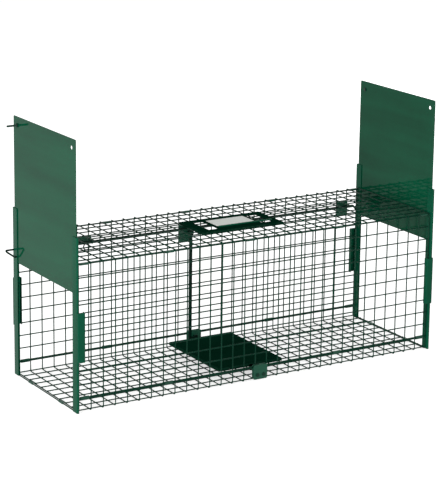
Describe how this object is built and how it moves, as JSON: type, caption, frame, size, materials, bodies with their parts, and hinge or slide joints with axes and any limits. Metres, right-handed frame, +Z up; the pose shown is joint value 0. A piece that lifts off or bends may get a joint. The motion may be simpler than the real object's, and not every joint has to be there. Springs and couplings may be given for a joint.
{
  "type": "live catch trap",
  "caption": "Welded wire cage trap with a drop door at each end, released by a treadle, lever and sliding rod, with a carrying plate on top.",
  "frame": {"origin": "centre of the cage's footprint, on the ground", "axes": "+Z up, X along the cage, -Y the front; the left door is at -X and the trigger rod is on the +Y wall"},
  "size_m": [0.841, 0.275, 0.512],
  "materials": {
    "mesh": "powder coat on welded wire, satin",
    "clip": "powder coat, satin",
    "guide": "powder coat, gloss",
    "door": "powder coat, gloss",
    "treadle": "powder coat, gloss",
    "handle": "powder coat, gloss",
    "rod": "powder coat, satin",
    "bracket": "powder coat, gloss",
    "fastener": "painted with the part, satin",
    "label": "matt white, bare"
  },
  "bodies": {
    "cage": {"floor_tray": "mesh", "front_panel": "mesh", "back_panel": "mesh", "top_panel": "mesh", "edge_clips": "clip", "sill_clips": "clip", "left_sill": "mesh", "right_sill": "mesh", "guide_left_back": "guide", "guide_left_front": "guide", "guide_right_back": "guide", "guide_right_front": "guide", "post_clamps": "guide", "rod_guide_left": "bracket", "rod_guide_centre": "bracket", "rod_guide_right": "bracket", "axle_bracket_back": "bracket", "axle_bracket_front": "bracket", "clamp_plate_back": "bracket", "clamp_plate_front": "bracket", "bracket_bolts": "fastener", "bracket_nuts": "fastener", "handle_plate": "handle", "label_plate": "label"},
    "left_door_body": {"left_door": "door", "left_lift_stud": "fastener", "left_stud_nut": "fastener"},
    "right_door_body": {"right_door": "door", "right_lift_stud": "fastener", "right_stud_nut": "fastener"},
    "treadle": {"treadle_pan": "treadle", "treadle_axle": "rod", "trigger_lever": "rod"},
    "trigger": {"rod_left_hook": "rod", "trigger_rod": "rod", "rod_right_end": "rod", "rod_peg_block": "rod"}
  },
  "joints": [
    {"name": "left_door_slide", "type": "slide", "parent": "cage", "child": "left_door_body", "axis": [0, 0, 1], "range_m": [-0.2224, 0]},
    {"name": "right_door_slide", "type": "slide", "parent": "cage", "child": "right_door_body", "axis": [0, 0, 1], "range_m": [-0.2224, 0]},
    {"name": "treadle_tilt", "type": "hinge", "parent": "cage", "child": "treadle", "pos_m": [-0.003, 0, 0.017], "axis": [0, -1, 0], "range_deg": [0, 3.47]},
    {"name": "rod_slide", "type": "slide", "parent": "cage", "child": "trigger", "axis": [-1, 0, 0], "range_m": [0, 0.0141]}
  ],
  "couplings": [
    {"joint": "rod_slide", "follows": "treadle_tilt", "m_per_rad": 0.231}
  ]
}
